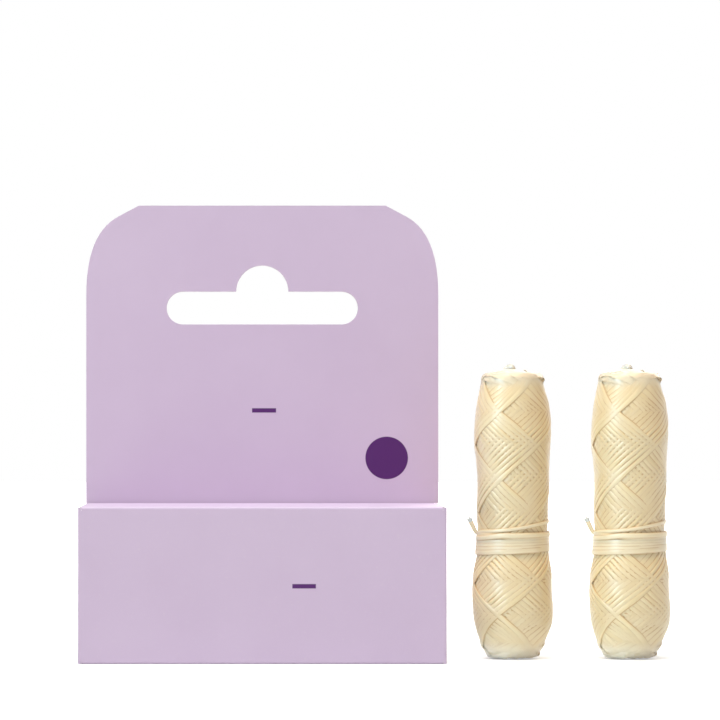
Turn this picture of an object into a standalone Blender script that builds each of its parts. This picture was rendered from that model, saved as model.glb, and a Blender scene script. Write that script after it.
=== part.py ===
# Refill pack for dental floss: a folding carton with a hang tab, and the two wound refills that it holds,
# standing beside it. Metres, +Z up, the front faces -Y. The origin is the middle of the carton's base.

import math

import bmesh
import bpy
import numpy as np
from mathutils import Vector
from mathutils.kdtree import KDTree

# Board and fits
BOARD = 0.00045                 # thickness of the carton board
FOLD_RADIUS_SHARE = 1.6         # outer radius of a fold, as a share of the board
FOLD_STEPS = 2                  # facets in the rounding of a fold
MITRE = math.radians(45)        # each panel takes half of a square fold
CREASE_GAP = 0.0003             # clearance across a crease, between the two panels that fold there
FIT_GAP = 0.0003                # clearance between pieces that move past each other
GLUE_GAP = 0.0002               # glue line between the two back plies
CUT_OVERRUN = 0.002             # how far a cutter runs past what it cuts

# Carton sleeve
CARTON_WIDTH = 0.060
CARTON_DEPTH = 0.028            # front face to the rear face of the inner back panel
CARTON_HEIGHT = 0.0255          # base to the top of the lid

# Hang tab, above the lid
TAB_HEIGHT = 0.0507
SHOULDER_INSET = 0.00895        # from the side edge in to the end of the straight top edge
SHOULDER_DROP = 0.00477         # where the shoulder's slope, carried on, would meet the side edge
SHOULDER_CURVE_END = 0.0152     # where the curve runs out into the side edge, below the top
SHOULDER_STRAIGHT_SHARE = 0.39  # straight part of the slope, before it curves down
SHOULDER_STEPS = 8
SLOT_WIDTH = 0.0326             # hanging slot, over its round ends
SLOT_HEIGHT = 0.0056
SLOT_DROP = 0.01465             # top edge of the tab to the top edge of the slot
SLOT_DOME_RADIUS = 0.00445      # the hook's seat in the middle of the slot
SLOT_END_STEPS = 10
SLOT_DOME_STEPS = 14

# Tuck ends, the same at the top and at the base
TONGUE_LENGTH = 0.008
TONGUE_SIDE_INSET = 0.0023      # tongue's side edge, in from the carton's side face
TONGUE_CORNER_RADIUS = 0.0035
TONGUE_CORNER_STEPS = 5
DUST_FLAP_LENGTH = 0.011
DUST_FLAP_FRONT_TAPER = 0.0015
DUST_FLAP_SHOULDER = 0.003      # straight shoulder behind which the lid's edge catches
DUST_FLAP_CUT = 0.002           # cut at 45 degrees past the shoulder

# Refills
REFILL_LENGTH = 0.0483
REFILL_WIDTH = 0.0135
REFILL_STAND_OFF = 0.00495      # from the carton's side to the first refill
REFILL_SPACE = 0.006            # between the two refills
REFILL_PROFILE_SHARES = (
    # height up the refill and radius of its winding, as shares of its length and of its half width
    (0.0, 0.62), (0.025, 0.70), (0.054, 0.79), (0.087, 0.88), (0.135, 0.963), (0.228, 1.0),
    (0.30, 0.955), (0.34, 0.86), (0.37, 0.80), (0.41, 0.785), (0.45, 0.79), (0.48, 0.82),
    (0.52, 0.87), (0.61, 0.895), (0.70, 0.935), (0.791, 0.963), (0.87, 0.919), (0.932, 0.83),
    (0.977, 0.748), (1.0, 0.622),
)
CORE_SIDES = 24
CORE_RINGS = 16
END_CAP_HEIGHT = 0.0008         # strands that cross the ends of the bundle
END_CAP_ROUND = 0.0005
LOOP_POINTS = 24                # points in each loop of a winding
GAP_CHECK_FINENESS = 4          # points of the gap check for each point of a winding

# Winding: one lay of strands side by side, wound up and down the refill in crossing bands
BAND_WIDTH = 0.0036
BAND_THICKNESS = 0.0006
LAYER_GAP = 0.0006              # between the bands that climb and those that come down over them
CORE_GAP = 0.0003               # between the core and the bands on it
WINDING_CYCLES = 5              # times up and down
TURNS_PER_CYCLE = 2.6           # leaves the next cycle two fifths of a turn further on
REVERSAL_SHARPNESS_SHARE = 0.985
LAYER_BLEND_SHARE = 0.16        # how soon after a reversal a band has changed its layer
END_TRIM_TURNS = 0.09           # kept clear between the winding's two ends

# Waist tie: the last turns of the strand, round the waist, and its free tail
TIE_HEIGHTS = (0.0181, 0.0202, 0.0223)  # lower turn, upper turn and the start of the slanting one
TIE_SLANT = 0.0010              # rise of the slanting turn across the front
TIE_TURN_STOPS = (0, 0.5, 1, 1.5, 2, 2.5)  # each turn lies level over the front half and drops behind
TIE_WIDTH = 0.0016
TIE_THICKNESS = 0.0006
TIE_LOOP_POINTS = 20
TAIL_REACH = 0.0011             # outwards
TAIL_RISE = 0.0026
TAIL_BEND_SHARE = 0.25          # how far along the tail it bends

# End loop: the bight of strand that stands out of the top
STRAND = 0.0005
END_LOOP_RADIUS = 0.0007
END_LOOP_X = -0.0009
END_LOOP_HEIGHT = 0.0010        # top of the bight above the end of the refill

MM_PER_M = 1000.0

LILAC = (0.597, 0.474, 0.631)
FLOSS = (0.80, 0.66, 0.44)
FLOSS_CORE = (0.74, 0.58, 0.37)
FLOSS_END = (0.78, 0.76, 0.68)


def clear_scene():
    for item in list(bpy.data.objects):
        bpy.data.objects.remove(item, do_unlink=True)


def add_object(name, data, material=None, parent=None, location=(0, 0, 0), rotation=(0, 0, 0)):
    item = bpy.data.objects.new(name, data)
    bpy.context.scene.collection.objects.link(item)
    item.parent = parent
    item.location = location
    item.rotation_euler = rotation
    if material:
        finish = bpy.data.materials.new(name)
        finish.use_nodes = True
        shader = finish.node_tree.nodes["Principled BSDF"]
        colour, roughness = material
        shader.inputs["Base Color"].default_value = (*colour, 1)
        shader.inputs["Roughness"].default_value = roughness
        shader.inputs["Metallic"].default_value = 0
        data.materials.append(finish)
    return item


def hide_guide(item):
    item.hide_render = True
    item.display_type = "WIRE"


BOARD_FINISH = (LILAC, 0.62)
CORE_FINISH = (FLOSS_CORE, 0.55)
FLOSS_FINISH = (FLOSS, 0.42)
FLOSS_END_FINISH = (FLOSS_END, 0.5)


# Board panels


def fold_rings():
    # Insets and depths of a folded edge, from the printed face to the inner one: a quarter of the fold's
    # rounding, then the mitre down to the inner corner.
    radius = FOLD_RADIUS_SHARE * BOARD
    rings = []
    for step in range(FOLD_STEPS + 1):
        turn = MITRE * step / FOLD_STEPS
        rings.append((radius * (1 - math.sin(turn)), radius * (1 - math.cos(turn))))
    rings.append((BOARD, BOARD))
    return rings


def inset_outline(outline, insets):
    # Each edge of a counter-clockwise outline is moved inwards by its own inset.
    count = len(outline)
    starts = []
    directions = []
    for index in range(count):
        here = Vector(outline[index])
        direction = (Vector(outline[(index + 1) % count]) - here).normalized()
        inwards = Vector((-direction.y, direction.x))
        starts.append(here + inwards * insets[index])
        directions.append(direction)
    moved = []
    for index in range(count):
        if insets[index - 1] == insets[index] == 0:
            moved.append(Vector(outline[index]))
            continue
        before, after = directions[index - 1], directions[index]
        cross = before.x * after.y - before.y * after.x
        offset = starts[index] - starts[index - 1]
        along = (offset.x * after.y - offset.y * after.x) / cross
        moved.append(starts[index - 1] + before * along)
    return moved


def board_panel(name, outline, folds, hinge_inside=False, **placing):
    # A flat panel of board. Its outline is counter-clockwise in its own XY plane, with the printed face on
    # +Z. folds holds the numbers of the outline's edges that are creases. A panel that hinges on the inner
    # corner of its crease has that corner at its origin, and any other the outer one.
    bm = bmesh.new()
    shift = BOARD if hinge_inside else 0
    crease_inset = CREASE_GAP / math.sqrt(2)
    rings = []
    for inset, depth in fold_rings():
        insets = [inset + crease_inset if index in folds else 0 for index in range(len(outline))]
        points = inset_outline(outline, insets)
        rings.append([bm.verts.new((point.x, point.y - shift, shift - depth)) for point in points])
    bm.faces.new(rings[0])
    bm.faces.new(reversed(rings[-1]))
    for upper, lower in zip(rings, rings[1:]):
        for index in range(len(upper)):
            after = (index + 1) % len(upper)
            bm.faces.new((upper[index], lower[index], lower[after], upper[after]))
    mesh = bpy.data.meshes.new(name)
    bm.to_mesh(mesh)
    bm.free()
    return add_object(name, mesh, BOARD_FINISH, **placing)


def arc(centre, radius, start, end, steps):
    points = []
    for step in range(steps + 1):
        angle = start + (end - start) * step / steps
        points.append((centre[0] + radius * math.cos(angle), centre[1] + radius * math.sin(angle)))
    return points


def rectangle(left, right, low, high):
    return [(left, low), (right, low), (right, high), (left, high)]


def tab_top():
    # The hang tab's outline over its top, from its +X side edge to its -X one.
    top = CARTON_HEIGHT + TAB_HEIGHT
    half = CARTON_WIDTH / 2
    corner = Vector((half, top - SHOULDER_DROP))
    ridge = Vector((half - SHOULDER_INSET, top))
    curve_start = Vector((half, top - SHOULDER_CURVE_END))
    curve_end = ridge.lerp(corner, SHOULDER_STRAIGHT_SHARE)
    shoulder = []
    for step in range(SHOULDER_STEPS + 1):
        share = step / SHOULDER_STEPS
        shoulder.append(curve_start.lerp(corner, share).lerp(corner.lerp(curve_end, share), share))
    shoulder.append(ridge)
    right = [(point.x, point.y) for point in shoulder]
    left = [(-x, y) for x, y in reversed(right)]
    return right + left


def slot_cutter():
    # The hanging slot: a long slot with round ends, and a half-round dome over its middle.
    radius = SLOT_HEIGHT / 2
    top = CARTON_HEIGHT + TAB_HEIGHT - SLOT_DROP
    reach = SLOT_WIDTH / 2 - radius
    quarter = math.pi / 2
    outline = arc((reach, top - radius), radius, -quarter, quarter, SLOT_END_STEPS)
    outline += arc((0, top), SLOT_DOME_RADIUS, 0, math.pi, SLOT_DOME_STEPS)
    outline += arc((-reach, top - radius), radius, quarter, 3 * quarter, SLOT_END_STEPS)
    bm = bmesh.new()
    face = bm.faces.new([bm.verts.new((x, 0, z)) for x, z in outline])
    extruded = bmesh.ops.extrude_face_region(bm, geom=[face])
    through = 2 * BOARD + GLUE_GAP + 2 * CUT_OVERRUN
    moved = [item for item in extruded["geom"] if isinstance(item, bmesh.types.BMVert)]
    bmesh.ops.translate(bm, vec=(0, through, 0), verts=moved)
    bmesh.ops.recalc_face_normals(bm, faces=bm.faces)
    mesh = bpy.data.meshes.new("slot_cutter")
    bm.to_mesh(mesh)
    bm.free()
    front = CARTON_DEPTH / 2 - BOARD - CUT_OVERRUN
    cutter = add_object("slot_cutter", mesh, location=(0, front, 0))
    hide_guide(cutter)
    return cutter


def cut_slot(panel, cutter):
    cut = panel.modifiers.new("hanging slot", "BOOLEAN")
    cut.operation = "DIFFERENCE"
    cut.solver = "EXACT"
    cut.object = cutter


def build_sleeve():
    # The glued sleeve: front, sides, inner back panel and the fifth panel glued behind it. The side panels
    # are shorter than the front, so that the dust flaps lie under the lids.
    half_width = CARTON_WIDTH / 2
    half_depth = CARTON_DEPTH / 2
    side_low = BOARD + FIT_GAP
    side_high = CARTON_HEIGHT - side_low
    upright = math.pi / 2
    all_four = (0, 1, 2, 3)

    board_panel("front_panel", rectangle(-half_width, half_width, 0, CARTON_HEIGHT), all_four,
                location=(0, -half_depth, 0), rotation=(upright, 0, 0))
    board_panel("left_side_panel", rectangle(-half_depth, half_depth, side_low, side_high), all_four,
                location=(-half_width, 0, 0), rotation=(upright, 0, -upright))
    rear_face = half_depth + GLUE_GAP + BOARD
    board_panel("right_side_panel", rectangle(-half_depth, rear_face, side_low, side_high), all_four,
                location=(half_width, 0, 0), rotation=(upright, 0, upright))

    # Seen from behind, +X of both back plies points to the carton's left side. A nick at each end of a
    # crease parts it from the tab's cut edge.
    nick = half_width - 2 * BOARD
    over_top = tab_top()
    inner_edge = half_width - BOARD - FIT_GAP
    back_outline = [(-inner_edge, 0), (nick, 0), (nick, side_low), (half_width, side_low)]
    back_outline += [(half_width, side_high), (nick, side_high), (nick, CARTON_HEIGHT)]
    back_outline += [(half_width, CARTON_HEIGHT)] + over_top
    back_outline += [(-half_width, CARTON_HEIGHT), (-inner_edge, CARTON_HEIGHT)]
    back_crease = back_outline.index((half_width, side_low))
    back = board_panel("back_panel", back_outline, (back_crease,),
                       location=(0, half_depth, 0), rotation=(upright, 0, math.pi))

    hang_outline = [(-nick, 0), (half_width, 0)] + over_top
    hang_outline += [(-half_width, CARTON_HEIGHT), (-nick, CARTON_HEIGHT), (-nick, side_high)]
    hang_outline += [(-half_width, side_high), (-half_width, side_low), (-nick, side_low)]
    hang_crease = hang_outline.index((-half_width, side_high))
    hang = board_panel("hang_panel", hang_outline, (hang_crease,),
                       location=(0, rear_face, 0), rotation=(upright, 0, math.pi))

    cutter = slot_cutter()
    for panel in (back, hang):
        cut_slot(panel, cutter)


def tongue_outline():
    half = CARTON_WIDTH / 2 - TONGUE_SIDE_INSET
    radius = TONGUE_CORNER_RADIUS
    inner = half - radius
    high = TONGUE_LENGTH - radius
    quarter = math.pi / 2
    outline = [(-half, 0), (half, 0)]
    outline += arc((inner, high), radius, 0, quarter, TONGUE_CORNER_STEPS)
    outline += arc((-inner, high), radius, quarter, math.pi, TONGUE_CORNER_STEPS)
    return outline


def dust_flap_outline(front, rear, towards_front):
    # front and rear are the flap's side edges, from the middle of the side panel. towards_front is 1 where
    # the flap's own +X points to the front of the carton, and -1 where it points to the back.
    outline = [(-rear, 0), (front, 0), (front - DUST_FLAP_FRONT_TAPER, DUST_FLAP_LENGTH)]
    outline += [(-rear + DUST_FLAP_CUT, DUST_FLAP_LENGTH)]
    outline += [(-rear + DUST_FLAP_CUT, DUST_FLAP_SHOULDER + DUST_FLAP_CUT), (-rear, DUST_FLAP_SHOULDER)]
    if towards_front < 0:
        outline = [(-x, y) for x, y in reversed(outline)]
    return outline


def root_edge(outline):
    # The number of the edge that lies on the crease, at Y = 0.
    count = len(outline)
    return next(i for i in range(count) if outline[i][1] == 0 == outline[(i + 1) % count][1])


def build_tuck_end(end, height, turned, left_name, right_name):
    # One tuck end, in a frame with its origin on the front panel's crease, +Y to the back and +Z outwards.
    frame = add_object(f"{end}_end", None, location=(0, -CARTON_DEPTH / 2, height), rotation=(0, turned, 0))

    lid_depth = CARTON_DEPTH - BOARD - FIT_GAP
    lid_half = CARTON_WIDTH / 2 - FIT_GAP
    lid = board_panel(f"{end}_lid", rectangle(-lid_half, lid_half, 0, lid_depth), (0, 2), parent=frame)

    # The tucked tongue leans inwards just far enough to swing out past the back panel with the lid.
    lean = math.asin((TONGUE_LENGTH + BOARD) ** 2 / (2 * lid_depth * TONGUE_LENGTH))
    tongue = tongue_outline()
    board_panel(f"{end}_tongue", tongue, (root_edge(tongue),), hinge_inside=True, parent=lid,
                location=(0, lid_depth - BOARD, -BOARD), rotation=(-math.pi / 2 - lean, 0, 0))

    flap_front = CARTON_DEPTH / 2 - BOARD - FIT_GAP
    tongue_front = lid_depth - 2 * BOARD - TONGUE_LENGTH * math.sin(lean)
    flap_rear = tongue_front - FIT_GAP - CARTON_DEPTH / 2
    flap_low = -(BOARD + FIT_GAP) - BOARD
    for side, name in ((-1, left_name), (1, right_name)):
        flap = dust_flap_outline(flap_front, flap_rear, -side)
        hinge_x = side * (CARTON_WIDTH / 2 - BOARD)
        board_panel(name, flap, (root_edge(flap),), hinge_inside=True, parent=frame,
                    location=(hinge_x, CARTON_DEPTH / 2, flap_low), rotation=(0, 0, side * math.pi / 2))


# Refills


def refill_radius(height):
    # Radius of the wound bundle at a height, through the profile's stations on a smooth curve.
    stations = np.array([share for share, _ in REFILL_PROFILE_SHARES]) * REFILL_LENGTH
    radii = np.array([share for _, share in REFILL_PROFILE_SHARES]) * REFILL_WIDTH / 2
    slopes = np.gradient(radii, stations)
    index = int(np.clip(np.searchsorted(stations, height) - 1, 0, len(stations) - 2))
    step = stations[index + 1] - stations[index]
    share = (height - stations[index]) / step
    ease = share * share * (3 - 2 * share)
    start = radii[index] * (1 - ease) + radii[index + 1] * ease
    bend = share * (1 - share) ** 2 * slopes[index] - share ** 2 * (1 - share) * slopes[index + 1]
    return float(start + step * bend)


def around(radius, turns, height):
    angle = 2 * math.pi * turns
    return Vector((radius * math.cos(angle), radius * math.sin(angle), height))


def winding_point(turns):
    # Up and down the refill at an even rate, with a soft reversal at each end. The band climbs in the inner
    # layer and comes down in the outer one.
    phase = 2 * math.pi * turns / TURNS_PER_CYCLE
    sharp = REVERSAL_SHARPNESS_SHARE
    climb = (1 - math.asin(sharp * math.cos(phase)) / math.asin(sharp)) / 2
    low = END_CAP_HEIGHT + CORE_GAP + BAND_WIDTH / 2
    height = low + climb * (REFILL_LENGTH - 2 * low)
    share = min(max(0.5 - math.sin(phase) / (2 * LAYER_BLEND_SHARE), 0), 1)
    outer = share * share * (3 - 2 * share)
    depth = BAND_THICKNESS / 2 + (1 - outer) * (BAND_THICKNESS + LAYER_GAP)
    return around(refill_radius(height) - depth, turns, height)


def sample(point_at, start, end, steps):
    return [point_at(start + (end - start) * step / steps) for step in range(steps + 1)]


def straight_ends(points, run):
    # Each end of a tube runs on straight for its own width.
    first = points[0] + (points[0] - points[1]).normalized() * run
    last = points[-1] + (points[-1] - points[-2]).normalized() * run
    return [first] + points + [last]


def winding_path(points_per_loop):
    start = END_TRIM_TURNS
    end = WINDING_CYCLES * TURNS_PER_CYCLE - END_TRIM_TURNS
    steps = round((end - start) * points_per_loop)
    return straight_ends(sample(winding_point, start, end, steps), BAND_THICKNESS)


def tie_radius(height):
    # The tie lies on the widest part of the winding under its own width.
    under = [refill_radius(height + offset) for offset in np.linspace(-TIE_WIDTH / 2, TIE_WIDTH / 2, 5)]
    return max(under) + CORE_GAP + TIE_THICKNESS / 2


def tie_point(turns):
    # From the left, across the front and round the back, counted in turns: the slanting turn, then the
    # upper one, then the lower one. It drops from one to the next behind the refill.
    lower, upper, slanting = TIE_HEIGHTS
    stops = TIE_TURN_STOPS
    heights = (slanting, slanting + TIE_SLANT, upper, upper, lower, lower)
    index = min(int(np.searchsorted(stops, turns, side="right")) - 1, len(stops) - 2)
    share = (turns - stops[index]) / (stops[index + 1] - stops[index])
    ease = share * share * (3 - 2 * share)
    height = heights[index] * (1 - ease) + heights[index + 1] * ease
    return around(tie_radius(height), turns + 0.5, height)


def tie_path(points_per_loop):
    turns = TIE_TURN_STOPS[-1]
    path = sample(tie_point, 0, turns, round(turns * points_per_loop))
    leave = path[0]
    tail_tip = leave + Vector((-TAIL_REACH, 0, TAIL_RISE))
    tail_bend = leave + Vector((-TAIL_REACH * TAIL_BEND_SHARE, TIE_THICKNESS, TAIL_RISE * TAIL_BEND_SHARE))
    return [tail_tip, tail_bend] + straight_ends(path, TIE_THICKNESS)[1:]


def band_section(width, thickness):
    # A flat band with thin edges: its thickness along X and its width along Y.
    return [(0, width / 2), (thickness / 2, width / 4), (thickness / 2, -width / 4),
            (0, -width / 2), (-thickness / 2, -width / 4), (-thickness / 2, width / 4)]


def band_frames(path):
    # For each point of a band: outwards, level and square to the band, then up along its width, and the
    # angle by which both are turned about the band to lie flat on the slope of the refill.
    frames = []
    for index, place in enumerate(path):
        before = path[max(index - 1, 0)]
        after = path[min(index + 1, len(path) - 1)]
        along = (after - before).normalized()
        outwards = along.cross(Vector((0, 0, 1))).normalized()
        up = outwards.cross(along)
        radial = Vector((place.x, place.y, 0)).normalized()
        if outwards.dot(radial) < 0:
            outwards, up = -outwards, -up
        low = min(max(place.z - STRAND, 0), REFILL_LENGTH - 2 * STRAND)
        slope = (refill_radius(low + 2 * STRAND) - refill_radius(low)) / (2 * STRAND)
        normal = (radial - Vector((0, 0, slope))).normalized()
        frames.append((outwards, up, math.atan2(normal.dot(up), normal.dot(outwards))))
    return frames


def least_gap(path, width, thickness):
    # The smallest distance between points on the band's surface that lie further apart along it than the
    # band is wide.
    surface = []
    travelled = [0.0]
    for index in range(1, len(path)):
        travelled.append(travelled[-1] + (path[index] - path[index - 1]).length)
    for place, distance, (outwards, up, tilt) in zip(path, travelled, band_frames(path)):
        across = outwards * math.cos(tilt) + up * math.sin(tilt)
        wide = up * math.cos(tilt) - outwards * math.sin(tilt)
        for x, y in band_section(width, thickness):
            surface.append((place + across * x + wide * y, distance))
    tree = KDTree(len(surface))
    for index, (point, _) in enumerate(surface):
        tree.insert(point, index)
    tree.balance()
    apart = 2 * (width + thickness)
    least = math.inf
    for point, place in surface:
        near = [distance for _, other, distance in tree.find_range(point, apart / 2)
                if abs(surface[other][1] - place) > apart]
        least = min([least] + near)
    return least


def band_data(name, path, width, thickness):
    outline = bpy.data.curves.new(f"{name}_section", "CURVE")
    ring = outline.splines.new("POLY")
    section = band_section(width, thickness)
    ring.points.add(len(section) - 1)
    for point, (x, y) in zip(ring.points, section):
        point.co = (x, y, 0, 1)
    ring.use_cyclic_u = True
    guide = add_object(f"{name}_section", outline)
    hide_guide(guide)

    data = bpy.data.curves.new(name, "CURVE")
    data.dimensions = "3D"
    data.twist_mode = "Z_UP"
    data.bevel_mode = "OBJECT"
    data.bevel_object = guide
    data.use_fill_caps = True
    data.render_resolution_u = 0
    spline = data.splines.new("POLY")
    spline.points.add(len(path) - 1)
    for point, place, (_, _, tilt) in zip(spline.points, path, band_frames(path)):
        point.co = (*place, 1)
        point.tilt = -tilt
    return data


def core_mesh(name):
    # The inner layers as one turned body, with the strands that cross its ends as a low cap on each.
    under = 2 * BAND_THICKNESS + LAYER_GAP + CORE_GAP
    cap = refill_radius(0)
    top = REFILL_LENGTH
    profile = [(0, 0), (cap - END_CAP_ROUND, 0), (cap, END_CAP_ROUND), (cap, END_CAP_HEIGHT)]
    for height in np.linspace(END_CAP_HEIGHT, top - END_CAP_HEIGHT, CORE_RINGS):
        profile.append((refill_radius(height) - under, height))
    profile += [(cap, top - END_CAP_HEIGHT), (cap, top - END_CAP_ROUND), (cap - END_CAP_ROUND, top), (0, top)]
    bm = bmesh.new()
    points = [bm.verts.new((radius, 0, height)) for radius, height in profile]
    edges = [bm.edges.new(pair) for pair in zip(points, points[1:])]
    bmesh.ops.spin(bm, geom=points + edges, cent=(0, 0, 0), axis=(0, 0, 1), angle=2 * math.pi,
                   steps=CORE_SIDES, use_merge=True)
    bmesh.ops.remove_doubles(bm, verts=bm.verts, dist=BOARD / CORE_SIDES)
    bmesh.ops.recalc_face_normals(bm, faces=bm.faces)
    mesh = bpy.data.meshes.new(name)
    bm.to_mesh(mesh)
    bm.free()
    mesh.shade_smooth()
    mesh.set_sharp_from_angle(angle=MITRE)
    return mesh


def end_loop_data(name):
    # A bight of strand, standing on the top of the refill on two straight legs.
    data = bpy.data.curves.new(name, "CURVE")
    data.dimensions = "3D"
    data.bevel_depth = STRAND / 2
    data.bevel_resolution = 1
    data.use_fill_caps = True
    data.render_resolution_u = 0
    foot = REFILL_LENGTH + CORE_GAP
    spring = REFILL_LENGTH + END_LOOP_HEIGHT - END_LOOP_RADIUS
    places = [(END_LOOP_RADIUS, foot)]
    places += arc((0, max(spring, foot + STRAND)), END_LOOP_RADIUS, 0, math.pi, LOOP_POINTS // 4)
    places.append((-END_LOOP_RADIUS, foot))
    spline = data.splines.new("POLY")
    spline.points.add(len(places) - 1)
    for point, (x, z) in zip(spline.points, places):
        point.co = (END_LOOP_X + x, 0, z, 1)
    return data


def build_refills():
    fine = GAP_CHECK_FINENESS
    gaps = {
        "winding": least_gap(winding_path(fine * LOOP_POINTS), BAND_WIDTH, BAND_THICKNESS),
        "waist tie": least_gap(tie_path(fine * TIE_LOOP_POINTS), TIE_WIDTH, TIE_THICKNESS),
    }
    for form, gap in gaps.items():
        print(f"{form}: least gap to itself {gap * MM_PER_M:.2f} mm")

    core = core_mesh("core")
    winding = band_data("winding", winding_path(LOOP_POINTS), BAND_WIDTH, BAND_THICKNESS)
    tie = band_data("waist_tie", tie_path(TIE_LOOP_POINTS), TIE_WIDTH, TIE_THICKNESS)
    end_loop = end_loop_data("end_loop")
    first = CARTON_WIDTH / 2 + REFILL_STAND_OFF + REFILL_WIDTH / 2
    for side, across in (("left", first), ("right", first + REFILL_WIDTH + REFILL_SPACE)):
        stand = add_object(f"{side}_refill", None, location=(across, 0, 0))
        pieces = ((core, "core", CORE_FINISH), (winding, "winding", FLOSS_FINISH),
                  (tie, "waist_tie", FLOSS_FINISH), (end_loop, "end_loop", FLOSS_END_FINISH))
        for data, piece, finish in pieces:
            add_object(f"{side}_refill_{piece}", data, None if data.materials else finish, stand)


def main():
    clear_scene()
    build_sleeve()
    build_tuck_end("top", CARTON_HEIGHT, 0, "top_left_dust_flap", "top_right_dust_flap")
    build_tuck_end("bottom", 0, math.pi, "bottom_right_dust_flap", "bottom_left_dust_flap")
    build_refills()


main()
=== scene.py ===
# Floss refill pack: the folded carton with its hang tab, and the two wound refills beside it.
import math

import bmesh
import bpy
import numpy as np
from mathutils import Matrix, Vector, noise


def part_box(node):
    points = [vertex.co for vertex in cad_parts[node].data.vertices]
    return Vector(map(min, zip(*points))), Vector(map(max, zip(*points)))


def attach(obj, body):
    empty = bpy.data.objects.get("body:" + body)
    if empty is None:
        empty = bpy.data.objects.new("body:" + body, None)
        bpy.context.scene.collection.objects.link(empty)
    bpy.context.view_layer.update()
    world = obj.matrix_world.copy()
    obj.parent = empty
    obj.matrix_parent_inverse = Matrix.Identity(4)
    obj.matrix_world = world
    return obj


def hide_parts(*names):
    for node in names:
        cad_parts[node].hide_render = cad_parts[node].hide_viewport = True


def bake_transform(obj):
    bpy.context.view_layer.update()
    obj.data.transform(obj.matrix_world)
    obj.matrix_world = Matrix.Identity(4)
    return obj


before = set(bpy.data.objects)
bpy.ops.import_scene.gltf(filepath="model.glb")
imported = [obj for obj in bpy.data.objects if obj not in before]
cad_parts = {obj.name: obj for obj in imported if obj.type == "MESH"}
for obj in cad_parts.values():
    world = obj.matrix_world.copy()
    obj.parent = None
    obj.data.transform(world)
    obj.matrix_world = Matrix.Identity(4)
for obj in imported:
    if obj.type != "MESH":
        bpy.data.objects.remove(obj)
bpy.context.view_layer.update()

print("frame loaded:", len(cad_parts), "nodes")

bpy.context.scene.view_settings.view_transform = "Standard"

usualSpan = (0.3, 0.7)                  # where most of a noise's values lie


def addNode(tree, kind, inputs=None, **settings):
    # a shader node with its settings, and each input either linked or given its value
    made = tree.nodes.new("ShaderNode" + kind)
    for name, value in settings.items():
        setattr(made, name, value)
    for name, value in (inputs or {}).items():
        if isinstance(value, bpy.types.NodeSocket):
            tree.links.new(value, made.inputs[name])
        else:
            made.inputs[name].default_value = value
    return made


class Finish:
    # one node material, with short calls for the nodes that it is made of
    def __init__(self, name, **sockets):
        self.material = bpy.data.materials.new(name)
        self.material.use_nodes = True
        self.tree = self.material.node_tree
        self.shader = self.tree.nodes["Principled BSDF"]
        for socket, value in sockets.items():
            self.shader.inputs[socket.replace("_", " ")].default_value = value

    def node(self, kind, inputs=None, **settings):
        return addNode(self.tree, kind, inputs, **settings)

    def coordinates(self, kind, scale=(1, 1, 1)):
        source = self.node("TexCoord").outputs[kind]
        return self.node("Mapping", {"Vector": source, "Scale": scale}).outputs["Vector"]

    def axes(self, vector=None):
        # the parts of a vector, or of the place on the object
        vector = vector or self.node("TexCoord").outputs["Object"]
        return self.node("SeparateXYZ", {0: vector}).outputs

    def noise(self, kind, scale, detail, roughness, drawn=(1, 1, 1)):
        made = self.node("TexNoise", {"Vector": self.coordinates(kind, drawn), "Scale": scale,
                                      "Detail": detail, "Roughness": roughness})
        return made.outputs["Fac"]

    def ranged(self, value, low, high, start=0.0, end=1.0):
        made = self.node("MapRange", {"Value": value, "From Min": start, "From Max": end,
                                      "To Min": low, "To Max": high})
        return made.outputs["Result"]

    def between(self, value, low, high, edge):
        # 1 from low to high, with a soft step at both that reaches edge to either side
        rising = self.ranged(value, 0, 1, low - edge, low + edge)
        falling = self.ranged(value, 1, 0, high - edge, high + edge)
        return self.calc("MULTIPLY", rising, falling)

    def calc(self, operation, first, second=0.5):
        return self.node("Math", {0: first, 1: second}, operation=operation).outputs[0]

    def mixed(self, share, first, second):
        made = self.node("Mix", {"Factor": share, 6: first, 7: second}, data_type="RGBA")
        return made.outputs[2]

    def toned(self, noise, first, second, span=usualSpan):
        # from the first colour to the second over a span of the noise
        return self.mixed(self.ranged(noise, 0, 1, *span), first, second)

    def bump(self, height, distance, strength, under=None):
        inputs = {"Height": height, "Distance": distance, "Strength": strength}
        if under:
            inputs["Normal"] = under
        return self.node("Bump", inputs).outputs["Normal"]

    def feed(self, socket, value):
        self.tree.links.new(value, self.shader.inputs[socket])


view = {
    "place": (0.0, -0.583, 0.040),
    "lens": 175.0,
    "sensor": 36.0,
    "shift": (0.1357, 0.0806),
    "clipStart": 0.01,
}


def addCamera():
    data = bpy.data.cameras.new("camera")
    data.lens = view["lens"]
    data.sensor_width = view["sensor"]
    data.shift_x, data.shift_y = view["shift"]
    data.clip_start = view["clipStart"]
    camera = bpy.data.objects.new("camera", data)
    camera.location = view["place"]
    camera.rotation_euler = (math.radians(90), 0, 0)
    bpy.context.scene.collection.objects.link(camera)
    bpy.context.scene.camera = camera


surround = {
    "ambient": 0.225,
    "tint": (1.0, 0.925, 0.82, 1),      # of its light; seen directly it is white
}


def seenDirectly(tree):
    # 1 on camera, glossy and transmission rays, so gloss shows the pale background too
    rays = addNode(tree, "LightPath").outputs
    first = addNode(tree, "Math", {0: rays["Is Camera Ray"], 1: rays["Is Glossy Ray"]}, operation="MAXIMUM")
    second = addNode(tree, "Math", {0: first.outputs[0], 1: rays["Is Transmission Ray"]}, operation="MAXIMUM")
    return second.outputs[0]


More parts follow.
